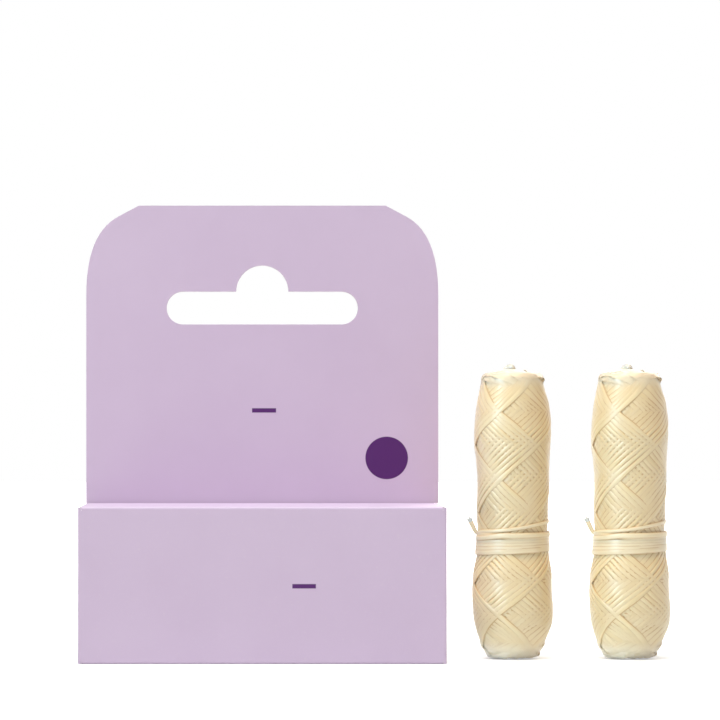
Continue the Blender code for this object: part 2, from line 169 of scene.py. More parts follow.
def addWorld():
    world = bpy.data.worlds.new("studioWorld")
    bpy.context.scene.world = world
    world.use_nodes = True
    tree = world.node_tree
    background = tree.nodes["Background"]
    seen = seenDirectly(tree)
    tint = addNode(tree, "Mix", {"Factor": seen, 6: surround["tint"], 7: (1, 1, 1, 1)}, data_type="RGBA")
    tree.links.new(tint.outputs[2], background.inputs["Color"])
    strength = addNode(tree, "MapRange", {"Value": seen, "To Min": surround["ambient"], "To Max": 1.0})
    tree.links.new(strength.outputs["Result"], background.inputs["Strength"])


addCamera()
addWorld()

# the photograph's carton and refills are each lit from their own side
cartonLit = bpy.data.collections.new("cartonLit")
refillsLit = bpy.data.collections.new("refillsLit")

lampAim = (0.02, 0.0, 0.03)
overhead = {"place": (-0.08, -0.20, 1.0), "size": 0.6, "power": 12.7}
lamps = {
    # lit holds all that a lamp lights, and shading all that casts its shadows
    "keyLamp": {"place": (-0.36, -0.98, 0.26), "size": 0.40, "power": 2.3, "tint": (0.89, 0.955, 1.0),
                "lit": cartonLit},
    "refillKeyLamp": {"place": (-0.76, -0.64, 0.32), "size": 0.30, "power": 6.4, "tint": (0.565, 0.84, 1.0),
                      "lit": refillsLit, "shading": refillsLit},
    "topLamp": {**overhead, "tint": (0.955, 1.0, 0.96), "lit": cartonLit},
    "refillTopLamp": {**overhead, "tint": (0.765, 0.59, 0.395), "lit": refillsLit},
    "backLamp": {"place": (0.35, 0.95, 0.55), "size": 0.8, "power": 3.0, "tint": (1.0, 0.95, 0.90)},
}


def addLamp(name, place, size, power, tint, lit=None, shading=None):
    data = bpy.data.lights.new(name, "AREA")
    data.color = tint
    data.shape = "DISK"
    data.size = size
    data.energy = power
    lamp = bpy.data.objects.new(name, data)
    lamp.location = place
    towards = Vector(lampAim) - Vector(place)
    lamp.rotation_euler = towards.to_track_quat("-Z", "Y").to_euler()
    if lit:
        lamp.light_linking.receiver_collection = lit
    if shading:
        lamp.light_linking.blocker_collection = shading
    bpy.context.scene.collection.objects.link(lamp)


for lampName, settings in lamps.items():
    addLamp(lampName, **settings)

floorPaper = {
    "reach": 1.6,
    "drop": 0.00005,                    # a hair under what stands on it
    "colour": (0.72, 0.72, 0.73, 1),
    "roughness": 0.9,
    "specular": 0.1,
    "glow": (0.42, 1.0),                # near the object, and far from it
    "glowGrows": (0.16, 0.40),          # how far out it begins to grow, and stops
}


def addFloor():
    bm = bmesh.new()
    bmesh.ops.create_grid(bm, x_segments=1, y_segments=1, size=floorPaper["reach"])
    bmesh.ops.translate(bm, vec=(0, 0, -floorPaper["drop"]), verts=bm.verts)
    mesh = bpy.data.meshes.new("floor")
    bm.to_mesh(mesh)
    bm.free()
    floor = bpy.data.objects.new("floor", mesh)
    bpy.context.scene.collection.objects.link(floor)
    cartonLit.objects.link(floor)
    finish = Finish("floorPaper", Base_Color=floorPaper["colour"], Roughness=floorPaper["roughness"],
                    Specular_IOR_Level=floorPaper["specular"], Emission_Color=(1, 1, 1, 1))
    # the glow grows away from the object, so the floor runs out into the white background
    place = finish.node("TexCoord").outputs["Object"]
    away = finish.node("VectorMath", {0: place}, operation="LENGTH").outputs["Value"]
    glow = finish.ranged(away, *floorPaper["glow"], *floorPaper["glowGrows"])
    finish.feed("Emission Strength", finish.calc("MULTIPLY", seenDirectly(finish.tree), glow))
    mesh.materials.append(finish.material)


addFloor()
print("studio set")

carton = {
    "width": 0.060,
    "depth": 0.028,
    "height": 0.0255,
    "board": 0.00045,
    "fit": 0.0003,
    "foldRadius": 0.00056,
    "foldSteps": 12,
    "foldSquareness": 4.0,              # 2 is a round fold, and more comes nearer to a sharp corner
    "cornerCut": 0.00005,
    "plyJoin": 0.0141,
    "rearFace": 0.01465,
    "nick": 0.0009,
    "smoothAngle": 30,
    "weld": 0.000005,
    "cutDistance": 0.000001,
    "hair": 0.00001,                    # how near counts as level with the box's top
}

inks = {
    "lilac": (0.595, 0.470, 0.628, 1),
    "lilacDeeper": (0.575, 0.450, 0.608, 1),
    "plum": (0.072, 0.006, 0.116, 1),
    "rawBoard": (0.74, 0.71, 0.68, 1),
    "rawBoardDarker": (0.66, 0.63, 0.60, 1),
    "glueLine": (0.50, 0.44, 0.40, 1),
}

# the plain printed marks: middle (x, z), half size (x, z) or radius, and the range of y that they lie in
dashes = [
    {"middle": (0.0003, 0.0413), "half": (0.00205, 0.00037), "depth": (0.0130, 0.01385)},
    {"middle": (0.0068, 0.01265), "half": (0.00192, 0.00036), "depth": (-0.0145, -0.0137)},
]
disc = {"middle": (0.0212, 0.0332), "radius": 0.00363, "depth": (0.0130, 0.01385)}
markEdge = 0.00004


def printedMarks(finish):
    place = finish.axes()
    marks = []
    for dash in dashes:
        (x, z), (halfX, halfZ) = dash["middle"], dash["half"]
        across = finish.between(place["X"], x - halfX, x + halfX, markEdge)
        upright = finish.between(place["Z"], z - halfZ, z + halfZ, markEdge)
        deep = finish.between(place["Y"], *dash["depth"], markEdge)
        marks.append(finish.calc("MULTIPLY", finish.calc("MULTIPLY", across, upright), deep))
    flat = finish.node("CombineXYZ", {0: place["X"], 1: place["Z"]}).outputs[0]
    away = finish.node("VectorMath", {0: flat, 1: (*disc["middle"], 0)}, operation="DISTANCE").outputs["Value"]
    inside = finish.ranged(away, 1, 0, disc["radius"] - markEdge, disc["radius"] + markEdge)
    deep = finish.between(place["Y"], *disc["depth"], markEdge)
    marks.append(finish.calc("MULTIPLY", inside, deep))
    return finish.calc("MAXIMUM", finish.calc("MAXIMUM", marks[0], marks[1]), marks[2])


grain = {
    # pulp at two scales, the finer one drawn out along the sheet
    "coarse": (900, 4, 0.6),
    "fine": (4200, 3, 0.6),
    "fineDrawn": (1, 1, 0.35),
    "fineShare": 0.5,
    "strength": (0.6, 0.5),
}


def boardGrain(finish, depth):
    coarse = finish.noise("Object", *grain["coarse"])
    fine = finish.noise("Object", *grain["fine"], grain["fineDrawn"])
    coarseStrength, fineStrength = grain["strength"]
    under = finish.bump(coarse, depth, coarseStrength)
    finish.feed("Normal", finish.bump(fine, depth * grain["fineShare"], fineStrength, under))


printedSide = {
    "specular": 0.35,
    "cloud": (60, 4, 0.6),
    "speck": (2600, 2, 0.5),
    "speckRange": (0.62, 0.8),
    "speckShare": 0.12,                 # how much of the bare board a speck lets through
    "roughness": (0.44, 0.56),
    "grainDepth": 0.00001,
}


def printedBoard():
    finish = Finish("printedBoard", Specular_IOR_Level=printedSide["specular"])
    cloud = finish.noise("Object", *printedSide["cloud"])
    speck = finish.noise("Object", *printedSide["speck"])
    tone = finish.toned(cloud, inks["lilac"], inks["lilacDeeper"])
    paler = finish.ranged(speck, 0, printedSide["speckShare"], *printedSide["speckRange"])
    tone = finish.mixed(paler, tone, inks["rawBoard"])
    finish.feed("Base Color", finish.mixed(printedMarks(finish), tone, inks["plum"]))
    finish.feed("Roughness", finish.ranged(cloud, *printedSide["roughness"], *usualSpan))
    boardGrain(finish, printedSide["grainDepth"])
    return finish.material


innerSide = {
    "specular": 0.3,
    "fibre": (1500, 4, 0.65),
    "fibreDrawn": (1, 1, 0.3),
    "fibreRange": (0.35, 0.7),
    "inkStarts": (0.0003, 0.0001),      # from how far under the box's top to how far
    "roughness": (0.68, 0.5),           # bare, and printed
    "grainDepth": 0.000012,
}


def boardInside():
    # bare inside the box, and printed where it is the front of the hang tab
    finish = Finish("boardInside", Specular_IOR_Level=innerSide["specular"])
    cloud = finish.noise("Object", *printedSide["cloud"])
    fibre = finish.noise("Object", *innerSide["fibre"], innerSide["fibreDrawn"])
    bare = finish.toned(fibre, inks["rawBoard"], inks["rawBoardDarker"], innerSide["fibreRange"])
    printed = finish.toned(cloud, inks["lilac"], inks["lilacDeeper"])
    printed = finish.mixed(printedMarks(finish), printed, inks["plum"])
    low, high = innerSide["inkStarts"]
    above = finish.ranged(finish.axes()["Z"], 0, 1, carton["height"] - low, carton["height"] - high)
    finish.feed("Base Color", finish.mixed(above, bare, printed))
    finish.feed("Roughness", finish.ranged(above, *innerSide["roughness"]))
    boardGrain(finish, innerSide["grainDepth"])
    return finish.material


cutEdge = {
    "roughness": 0.8,
    "specular": 0.2,
    "fibre": (3000, 3, 0.6),
    "fibreDrawn": (0.4, 3, 0.4),
    "fibreDepth": 0.00002,
    "fibreStrength": 0.7,
    "glueHalf": 0.00003,
    "glueEdge": 0.00002,
}


def boardEdge():
    # layered pulp, with the glue line between the two plies of the tab
    finish = Finish("boardEdge", Roughness=cutEdge["roughness"], Specular_IOR_Level=cutEdge["specular"])
    fibre = finish.noise("Object", *cutEdge["fibre"], cutEdge["fibreDrawn"])
    pulp = finish.toned(fibre, inks["rawBoard"], inks["rawBoardDarker"])
    low, high = carton["plyJoin"] - cutEdge["glueHalf"], carton["plyJoin"] + cutEdge["glueHalf"]
    glue = finish.between(finish.axes()["Y"], low, high, cutEdge["glueEdge"])
    finish.feed("Base Color", finish.mixed(glue, pulp, inks["glueLine"]))
    finish.feed("Normal", finish.bump(fibre, cutEdge["fibreDepth"], cutEdge["fibreStrength"]))
    return finish.material


boardFinishes = [printedBoard(), boardInside(), boardEdge()]


def trace(bm, steps):
    # draws a closed outline: a step is a corner to run to, or an arc that spins the last point about a centre
    first = last = None
    for step in steps:
        if len(step) == 2:
            corner = bm.verts.new((*step, 0))
            if last:
                bm.edges.new((last, corner))
            first = first or corner
            last = corner
        else:
            centre, angle, count = step
            spun = bmesh.ops.spin(bm, geom=[last], cent=(*centre, 0), axis=(0, 0, 1), angle=angle, steps=count)
            last = next(item for item in spun["geom_last"] if isinstance(item, bmesh.types.BMVert))
    bm.edges.new((last, first))


def keepFlat(bm, name, flatPlace):
    # the UV map keeps where each corner lies in the flat
    layer = bm.loops.layers.uv.new(name)
    for face in bm.faces:
        for loop in face.loops:
            loop[layer].uv = flatPlace(loop.vert.co)


def plate(bm, axis, cuts):
    # The flat blank: its outlines are filled, pushed back to the board's thickness and cut where it will bend.
    # Printed side, inner side and cut edges get their finishes.
    bmesh.ops.remove_doubles(bm, verts=bm.verts, dist=carton["weld"])
    filled = bmesh.ops.triangle_fill(bm, edges=bm.edges, use_beauty=True, normal=(0, 0, 1))
    faces = [item for item in filled["geom"] if isinstance(item, bmesh.types.BMFace)]
    pushed = bmesh.ops.extrude_face_region(bm, geom=faces, use_keep_orig=True)
    back = [item for item in pushed["geom"] if isinstance(item, bmesh.types.BMVert)]
    bmesh.ops.translate(bm, vec=(0, 0, -carton["board"]), verts=back)
    for cut in cuts:
        spot = (cut, 0, 0) if axis == 0 else (0, cut, 0)
        everything = list(bm.verts) + list(bm.edges) + list(bm.faces)
        bmesh.ops.bisect_plane(bm, geom=everything, dist=carton["cutDistance"], plane_co=spot,
                               plane_no=(1 - axis, axis, 0))
    bmesh.ops.recalc_face_normals(bm, faces=bm.faces)
    for face in bm.faces:
        upwards = face.normal.z
        face.material_index = 0 if upwards > 0.5 else 1 if upwards < -0.5 else 2
    keepFlat(bm, "flatBlank", lambda spot: spot.xy)


def headingAt(angle):
    return Vector((math.cos(angle), math.sin(angle)))


def leftOf(angle):
    return Vector((-math.sin(angle), math.cos(angle)))


def foldCourse(start, heading, runs):
    # runs of a folded sheet's outer face, in the plane that it is folded in, as (length, turn to the left)
    course = []
    place, angle, along = Vector(start), heading, 0.0
    for length, turn in runs:
        course.append((along, length, place.copy(), angle, turn))
        if turn:
            radius = length / turn
            centre = place + leftOf(angle) * radius
            angle += turn
            place = centre - leftOf(angle) * radius
        else:
            place = place + headingAt(angle) * length
        along += length
    return course


def onCourse(course, along, depth):
    # where a point of the flat sheet lies once folded; depth goes in from the outer face
    run = next((item for item in reversed(course) if along >= item[0]), course[0])
    begin, length, place, angle, turn = run
    offset = along - begin
    if turn:
        radius, power = length / turn, carton["foldSquareness"]
        centre = place + leftOf(angle) * radius
        angle += offset / radius
        share = math.pi / 2 * min(offset / length, 1)
        square = (math.cos(share) ** power + math.sin(share) ** power) ** (-1 / power) - 1
        reach = radius - depth + radius * square * (1 - depth / carton["board"])
        return centre - leftOf(angle) * reach
    return place + headingAt(angle) * offset + leftOf(angle) * depth


def foldCuts(course):
    # where the flat sheet has to be cut for its bends
    cuts = []
    for begin, length, _, _, turn in course:
        if turn:
            cuts += [begin + length * step / carton["foldSteps"] for step in range(carton["foldSteps"] + 1)]
    return cuts


def finishPiece(bm, name, materials, smoothAngle, lit):
    bmesh.ops.recalc_face_normals(bm, faces=bm.faces)
    if bm.calc_volume(signed=True) < 0:     # a folded sheet can come out of that inside out
        bmesh.ops.reverse_faces(bm, faces=bm.faces)
    mesh = bpy.data.meshes.new(name)
    bm.to_mesh(mesh)
    bm.free()
    mesh.shade_smooth()
    mesh.set_sharp_from_angle(angle=math.radians(smoothAngle))
    for material in materials:
        mesh.materials.append(material)
    piece = bpy.data.objects.new(name, mesh)
    bpy.context.scene.collection.objects.link(piece)
    lit.objects.link(piece)
    return piece


hangTab = {
    "top": 0.0762,
    "shoulderInset": 0.00895,
    "shoulderDrop": 0.00477,
    "curveEnd": 0.0152,
    "straightShare": 0.39,
    "curveSteps": 14,
    "slotWidth": 0.0326,
    "slotHeight": 0.0056,
    "slotDrop": 0.01465,
    "domeRadius": 0.00445,
    "arcSteps": 24,
}


def tabShoulders(edgeX, inwards):
    # from a side edge of the tab, at edgeX, up over its shoulder to the straight top
    top = hangTab["top"]
    corner = Vector((edgeX, top - hangTab["shoulderDrop"]))
    ridge = Vector((edgeX + inwards * hangTab["shoulderInset"], top))
    start = Vector((edgeX, top - hangTab["curveEnd"]))
    end = ridge.lerp(corner, hangTab["straightShare"])
    points = []
    for step in range(hangTab["curveSteps"] + 1):
        share = step / hangTab["curveSteps"]
        points.append(tuple(start.lerp(corner, share).lerp(corner.lerp(end, share), share)))
    points.append(tuple(ridge))
    return points


def slotOutline(middle):
    radius = hangTab["slotHeight"] / 2
    reach = hangTab["slotWidth"] / 2 - radius
    top = hangTab["top"] - hangTab["slotDrop"]
    steps = hangTab["arcSteps"]
    dome = hangTab["domeRadius"]
    return [(middle + reach, top - 2 * radius), ((middle + reach, top - radius), math.pi, steps),
            (middle + dome, top), ((middle, top), math.pi, steps),
            (middle - reach, top), ((middle - reach, top - radius), math.pi, steps)]


tuckEnds = {
    "lidDepth": 0.02725,
    "lidHalf": 0.0297,
    "lidShoulder": 0.0005,              # past its fold the lid widens over this length
    "foldHalf": 0.0294,
    "tongueLength": 0.00755,
    "tongueHalf": 0.0277,
    "tongueCorner": 0.0035,
    "tongueCornerSteps": 10,
    "tongueNarrows": 0.35,              # the share of its fold where it begins to
    "lean": 9.426,
    "flapLength": 0.011,
    "flapFront": -0.01325,
    "flapRear": 0.01074,
    "flapTaper": 0.0015,
    "flapShoulder": 0.003,
    "flapCut": 0.002,
}


def buildSleeve():
    half = carton["width"] / 2
    middle = carton["depth"] / 2
    radius = carton["foldRadius"]
    bend = radius * math.pi / 2
    rear = carton["rearFace"]
    turn = math.pi / 2
    runs = [(2 * half - radius, 0), (bend, turn), (2 * middle - 2 * radius, 0), (bend, turn),
            (2 * half - 2 * radius, 0), (bend, turn), (middle + rear - 2 * radius, 0), (bend, turn),
            (2 * half - radius, 0)]
    course = foldCourse((half, middle), math.pi, runs)
    starts = [item[0] for item in course]
    sideLow = carton["board"] + carton["fit"]
    flapLow = sideLow + radius
    cornerLow = carton["cornerCut"]
    height = carton["height"]

    def raised(first, last):
        return [(first, sideLow), (first, flapLow), (last, flapLow), (last, sideLow)]

    # s runs along the blank: first where the left side's flap and the right side's flap stand
    leftFlap = [starts[2] + middle - radius - y for y in (tuckEnds["flapRear"], tuckEnds["flapFront"])]
    rightFlap = [starts[6] + y + middle - radius for y in (tuckEnds["flapFront"], tuckEnds["flapRear"])]
    hangZero = starts[8] - radius           # the hang panel's side edge, laid flat
    backNick, hangNick = 2 * half - carton["nick"], hangZero + carton["nick"]
    end = hangZero + 2 * half
    foot = [(sideLow, 0), (backNick, 0), (backNick, sideLow), *raised(*leftFlap)]
    foot += [(starts[3], sideLow), (starts[3], cornerLow), (starts[4], cornerLow)]
    foot += [(starts[4], radius), (starts[5], radius), (starts[5], cornerLow)]
    foot += [(starts[6], cornerLow), (starts[6], sideLow), *raised(*rightFlap)]
    foot += [(hangNick, sideLow), (hangNick, 0), (end, 0)]
    head = [(s, height - z) for s, z in reversed(foot)][2:-2]   # the same along the top, between the tabs
    backTab = [(backNick, height), (2 * half, height)] + tabShoulders(2 * half, -1)
    backTab += list(reversed(tabShoulders(0, 1))) + [(0, height), (sideLow, height)]
    rearTab = tabShoulders(end, -1) + list(reversed(tabShoulders(hangZero, 1)))
    rearTab += [(hangZero, height), (hangNick, height)]

    bm = bmesh.new()
    trace(bm, foot + rearTab + head + backTab)
    trace(bm, slotOutline(half))
    trace(bm, slotOutline(hangZero + half))
    plate(bm, 0, foldCuts(course))
    glued = carton["plyJoin"] - middle
    for vertex in bm.verts:
        s, z, depth = vertex.co.x, vertex.co.y, -vertex.co.z
        aboveBox = z > height - carton["hair"]
        if s < starts[1] or (aboveBox and s < starts[3]):            # inner back panel and front ply
            outwards = glued if depth < carton["board"] / 2 else 0
            vertex.co = (half - s, middle - depth + outwards, z)
        elif s > starts[8] or (aboveBox and s > starts[6]):          # fifth panel and rear ply
            inwards = rear - carton["plyJoin"] if depth > carton["board"] / 2 else 0
            vertex.co = (half - (s - hangZero), rear - inwards, z)
        else:
            place = onCourse(course, s, depth)
            vertex.co = (place.x, place.y, z)
    sleeve = finishPiece(bm, "cartonSleeve", boardFinishes, carton["smoothAngle"], cartonLit)
    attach(sleeve, "carton")
    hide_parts("front_panel", "left_side_panel", "right_side_panel", "back_panel", "hang_panel")


def foldedFlap(name, node, outline, runs, corner, out, on, across):
    # A flap with its fold: corner is where its fold starts, out its outward way there, on the way it runs on.
    course = foldCourse((0, 0), math.pi / 2, runs)
    bm = bmesh.new()
    trace(bm, outline)
    plate(bm, 1, foldCuts(course))
    out, on, across = Vector(out), Vector(on), Vector(across)
    for vertex in bm.verts:
        u, v, depth = vertex.co.x, vertex.co.y, -vertex.co.z
        place = onCourse(course, v, depth)
        vertex.co = Vector(corner) + across * u + out * place.x + on * place.y
    piece = finishPiece(bm, name, boardFinishes, carton["smoothAngle"], cartonLit)
    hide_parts(node)
    return piece


def blendAcross(piece):
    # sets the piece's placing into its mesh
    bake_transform(piece)


def buildTuckEnd(end, upwards, height):
    # upwards is 1 at the top and -1 at the base; height is the outer face of the lid
    radius = carton["foldRadius"]
    board = carton["board"]
    bend = radius * math.pi / 2
    middle = carton["depth"] / 2
    out, on = (0, -1, 0), (0, 0, upwards)
    lean = math.radians(tuckEnds["lean"])
    creaseY = tuckEnds["lidDepth"] - board - middle
    rise = board - radius
    foldY = creaseY + (rise + rise * math.sin(lean)) / math.cos(lean)
    flat = foldY - (radius - middle)

    halfFold, halfLid = tuckEnds["foldHalf"], tuckEnds["lidHalf"]
    widened = bend + tuckEnds["lidShoulder"]
    lidOutline = [(-halfFold, 0), (halfFold, 0), (halfFold, bend), (halfLid, widened)]
    lidOutline += [(halfLid, bend + flat), (-halfLid, bend + flat), (-halfLid, widened), (-halfFold, bend)]
    corner = (0, -middle, height - upwards * radius)
    lid = foldedFlap(f"{end}Lid", f"{end}_lid", lidOutline, [(bend, math.pi / 2), (flat, 0)],
                     corner, out, on, (1, 0, 0))
    blendAcross(lid)

    turn = math.pi / 2 + lean
    bendOver = radius * turn
    narrows = bendOver * tuckEnds["tongueNarrows"]
    half, rounding, steps = tuckEnds["tongueHalf"], tuckEnds["tongueCorner"], tuckEnds["tongueCornerSteps"]
    # the fold takes part of the tongue's length, from its inner corner
    long = bendOver + tuckEnds["tongueLength"] - (radius - board) * math.tan(turn / 2)
    tongueOutline = [(-halfLid, 0), (halfLid, 0), (halfLid, narrows), (half, bendOver), (half, long - rounding)]
    tongueOutline += [((half - rounding, long - rounding), math.pi / 2, steps), (-half + rounding, long)]
    tongueOutline += [((-half + rounding, long - rounding), math.pi / 2, steps), (-half, bendOver)]
    tongueOutline += [(-halfLid, narrows)]
    corner = (0, foldY, height)
    tongue = foldedFlap(f"{end}Tongue", f"{end}_tongue", tongueOutline, [(bendOver, turn), (long, 0)],
                        corner, on, (0, 1, 0), (1, 0, 0))
    blendAcross(tongue)

    front, rear = tuckEnds["flapFront"], tuckEnds["flapRear"]
    length, cut, shoulder = tuckEnds["flapLength"], tuckEnds["flapCut"], tuckEnds["flapShoulder"]
    base = bend - (radius - board)          # the flat length at the flap's crease
    long = base + length - board
    flapOutline = [(front, 0), (rear, 0), (rear, base + shoulder), (rear - cut, base + shoulder + cut)]
    flapOutline += [(rear - cut, long), (front + tuckEnds["flapTaper"], long), (front, base)]
    flapHeight = height - upwards * (board + carton["fit"])
    for side, word in ((-1, "left"), (1, "right")):
        corner = (side * carton["width"] / 2, 0, flapHeight - upwards * radius)
        flap = foldedFlap(f"{end}{word.capitalize()}DustFlap", f"{end}_{word}_dust_flap", flapOutline,
                          [(bend, math.pi / 2), (long, 0)], corner, (side, 0, 0), on, (0, 1, 0))
        blendAcross(flap)


buildSleeve()
buildTuckEnd("top", 1, carton["height"])
buildTuckEnd("bottom", -1, 0.0)
print("carton folded")

refill = {
    "length": 0.0483,
    "halfWidth": 0.00675,
    # height as a share of the length, radius as a share of the half width
    "profile": [(0.0, 0.47), (0.0104, 0.57), (0.035, 0.76), (0.062, 0.83), (0.097, 0.92), (0.13, 0.975),
                (0.18, 0.998), (0.235, 1.0), (0.30, 0.978), (0.34, 0.925), (0.37, 0.885), (0.41, 0.870),
                (0.45, 0.872), (0.49, 0.88), (0.545, 0.892), (0.61, 0.90), (0.67, 0.917), (0.73, 0.947),
                (0.79, 0.963), (0.822, 0.953), (0.886, 0.889), (0.94, 0.80), (0.97, 0.775), (1.0, 0.70)],
    "sidePoints": 160,
    "rim": 0.0010,
    "rimPoints": 12,
    "domes": (0.00015, 0.0008),         # how far the middle of each end stands out past its rim
    "domePoints": 16,
    "slopeReach": 0.0004,
    "lumps": 0.00013,
    "lumpsRound": 1.1,
    "lumpsUp": 170,
    "meanRadius": 0.006,
    "smoothAngle": 60,
}


def eased(share):
    return share * share * (3 - 2 * share)


def envelope():
    # The refill's outline from the middle of its base, over both rims, to the middle of its top, with how
    # far along it each point lies.
    length, half, rim = refill["length"], refill["halfWidth"], refill["rim"]
    rimPoints, domePoints = refill["rimPoints"], refill["domePoints"]
    heights = np.array([share for share, _ in refill["profile"]]) * length
    radii = np.array([share for _, share in refill["profile"]]) * half
    slopes = np.gradient(radii, heights)
    low, high = refill["domes"][0], length - refill["domes"][1]
    side = []
    for height in np.linspace(low + rim, high - rim, refill["sidePoints"]):
        index = int(np.clip(np.searchsorted(heights, height) - 1, 0, len(heights) - 2))
        step = heights[index + 1] - heights[index]
        t = (height - heights[index]) / step
        bend = t * (1 - t) ** 2 * slopes[index] - t * t * (1 - t) * slopes[index + 1]
        side.append((radii[index] * (1 - eased(t)) + radii[index + 1] * eased(t) + step * bend, height))
    ends = []
    for sideEnd, flat, middle, way in ((side[0], low, 0.0, 1), (side[-1], high, length, -1)):
        turned = []
        for step in range(rimPoints):
            angle = math.pi / 2 * step / rimPoints
            turned.append((sideEnd[0] - rim * (1 - math.sin(angle)), flat + way * rim * (1 - math.cos(angle))))
        edge = turned[0][0]
        dome = [(r, middle + (flat - middle) * (r / edge) ** 2) for r in np.linspace(0, edge, domePoints)[:-1]]
        ends.append(dome + turned)
    points = np.array(ends[0] + side + list(reversed(ends[1])))
    along = np.concatenate(([0], np.cumsum(np.hypot(*np.diff(points, axis=0).T))))
    return points, along


outlinePoints, outlineAlong = envelope()


def onEnvelope(along, depth):
    # radius and height at a place along the outline, pushed in by depth, and the outward way there
    def at(spot):
        return [np.interp(spot, outlineAlong, outlinePoints[:, axis]) for axis in (0, 1)]

    radius, height = at(along)
    ahead, behind = at(along + refill["slopeReach"]), at(along - refill["slopeReach"])
    run = Vector((ahead[0] - behind[0], ahead[1] - behind[1])).normalized()
    out = Vector((run.y, -run.x))
    return radius - out.x * depth, height - out.y * depth, out


strand = {
    "width": 0.00090,
    "thickness": 0.00024,
    "cycles": 33,                       # times up and down again
    "turnsPerCycle": 3.34343,
    "pointsPerTurn": 56,
    "sides": 8,
    "weld": 0.0000002,
    "startTurn": 0.03,
    "seed": 3.7,
    # how the passes pile up
    "buildUp": 0.00022,                 # from the first pass to the last, along the side
    "endBuildUp": 0.00014,              # and as much more over the ends
    "upOverDown": 0.00003,
    # how it turns round at the ends, further over the rims at some visits than at others
    "sharpness": 0.90,
    "strokeEnd": 0.0056,
    "overEnd": 0.0036,
    "overEndShare": 0.16,
    "overEndWaves": 1.5,
    "overEndReach": (0.5, 0.42, 0.08),  # in the mean, in those waves and from visit to visit
    "overEndStray": 2.4,
    # how far it wanders to the sides, and how fast by the turn and by the pass
    "wander": 0.00020,
    "wanderTurns": 0.8,
    "wanderPasses": 9,
    # how flat it lies: in the mean, in patches of the refill and along itself
    "flatness": (0.42, 2.2, 0.5),
    "patchScale": 210,
    "ownRate": 1.3,
    "ownPlace": 5.1,
    "flatAtEnds": 0.7,
    # shares of the width: at the least, and added where it is flat and at the ends
    "widths": (0.88, 0.40, 0.5),
    # shares of the thickness: at the most, and taken off where it is flat
    "thicknesses": (1.25, 0.85),
}


def lump(angle, height):
    # the bundle is a little uneven
    across = refill["lumpsRound"]
    spot = (math.cos(angle) * across, math.sin(angle) * across, height * refill["lumpsUp"] + strand["seed"])
    return noise.noise(Vector(spot)) * refill["lumps"]


def layPoint(turns):
    # One place of the strand as it is wound up and down, each pass a little further round and over those
    # before it: the place, the way outwards there and how near an end it is.
    cycle = turns / strand["turnsPerCycle"]
    done = cycle / strand["cycles"]
    seed = strand["seed"]
    sharp = strand["sharpness"]
    climb = 0.5 - math.asin(sharp * math.cos(2 * math.pi * cycle)) / math.asin(sharp) / 2
    low = strand["strokeEnd"]
    high = outlineAlong[-1] - low
    along = low + climb * (high - low)
    edge = max(1 - min(climb, 1 - climb) / strand["overEndShare"], 0)
    if edge:
        visit = round(cycle) if climb < 0.5 else math.floor(cycle) + 0.5
        wave = 2 * math.pi * strand["overEndWaves"] * visit / strand["cycles"]
        mean, swing, stray = strand["overEndReach"]
        reach = mean + swing * math.cos(wave + seed) + stray * math.sin(visit * strand["overEndStray"])
        over = strand["overEnd"] * reach * edge ** 2
        along += -over if climb < 0.5 else over
    coming = max(math.sin(2 * math.pi * cycle), 0)
    pile = strand["buildUp"] + strand["endBuildUp"] * edge
    depth = strand["thickness"] / 2 + pile * (1 - done) - coming * strand["upOverDown"]
    spot = Vector((turns * strand["wanderTurns"], seed * 2, done * strand["wanderPasses"]))
    drift = noise.noise(spot) * strand["wander"]
    angle = 2 * math.pi * (turns + strand["startTurn"]) + drift / refill["meanRadius"]
    height = onEnvelope(along, depth)[1]
    radius, height, out = onEnvelope(along, depth - lump(angle, height))
    place = Vector((radius * math.cos(angle), radius * math.sin(angle), height))
    outwards = Vector((out.x * math.cos(angle), out.x * math.sin(angle), out.y))
    return place, outwards, edge


def flatness(place, turns):
    # 0 where the strand lies round and apart, 1 where it is spread flat against its neighbours
    patch = noise.noise(place * strand["patchScale"] + Vector((strand["seed"], 0, 0)))
    own = noise.noise(Vector((turns * strand["ownRate"], strand["ownPlace"], 0)))
    mean, patches, byItself = strand["flatness"]
    return min(max(mean + patches * patch + byItself * own, 0), 1)


def closeUp(bm, weld):
    # welds what meets and fills what stays open
    bmesh.ops.remove_doubles(bm, verts=bm.verts, dist=weld)
    bmesh.ops.holes_fill(bm, edges=[edge for edge in bm.edges if edge.is_boundary], sides=0)


def tube(places, outs, widths, thicknesses, sides):
    # a flat strand along its places: a grid rolled up and laid on them, with its length and girth as UV map
    rows = len(places) - 1
    bm = bmesh.new()
    bmesh.ops.create_grid(bm, x_segments=sides, y_segments=rows, size=0.5)
    run = np.concatenate(([0], np.cumsum([(b - a).length for a, b in zip(places, places[1:])])))
    keepFlat(bm, "alongStrand", lambda spot: (run[round((spot.y + 0.5) * rows)], spot.x + 0.5))
    for vertex in bm.verts:
        index = round((vertex.co.y + 0.5) * rows)
        angle = 2 * math.pi * (vertex.co.x + 0.5)
        forward = (places[min(index + 1, rows)] - places[max(index - 1, 0)]).normalized()
        across = forward.cross(outs[index]).normalized()
        out = across.cross(forward)
        wide = math.cos(angle) * widths[index] / 2
        thick = math.sin(angle) * thicknesses[index] / 2
        vertex.co = places[index] + across * wide + out * thick
    closeUp(bm, strand["weld"])
    return bm


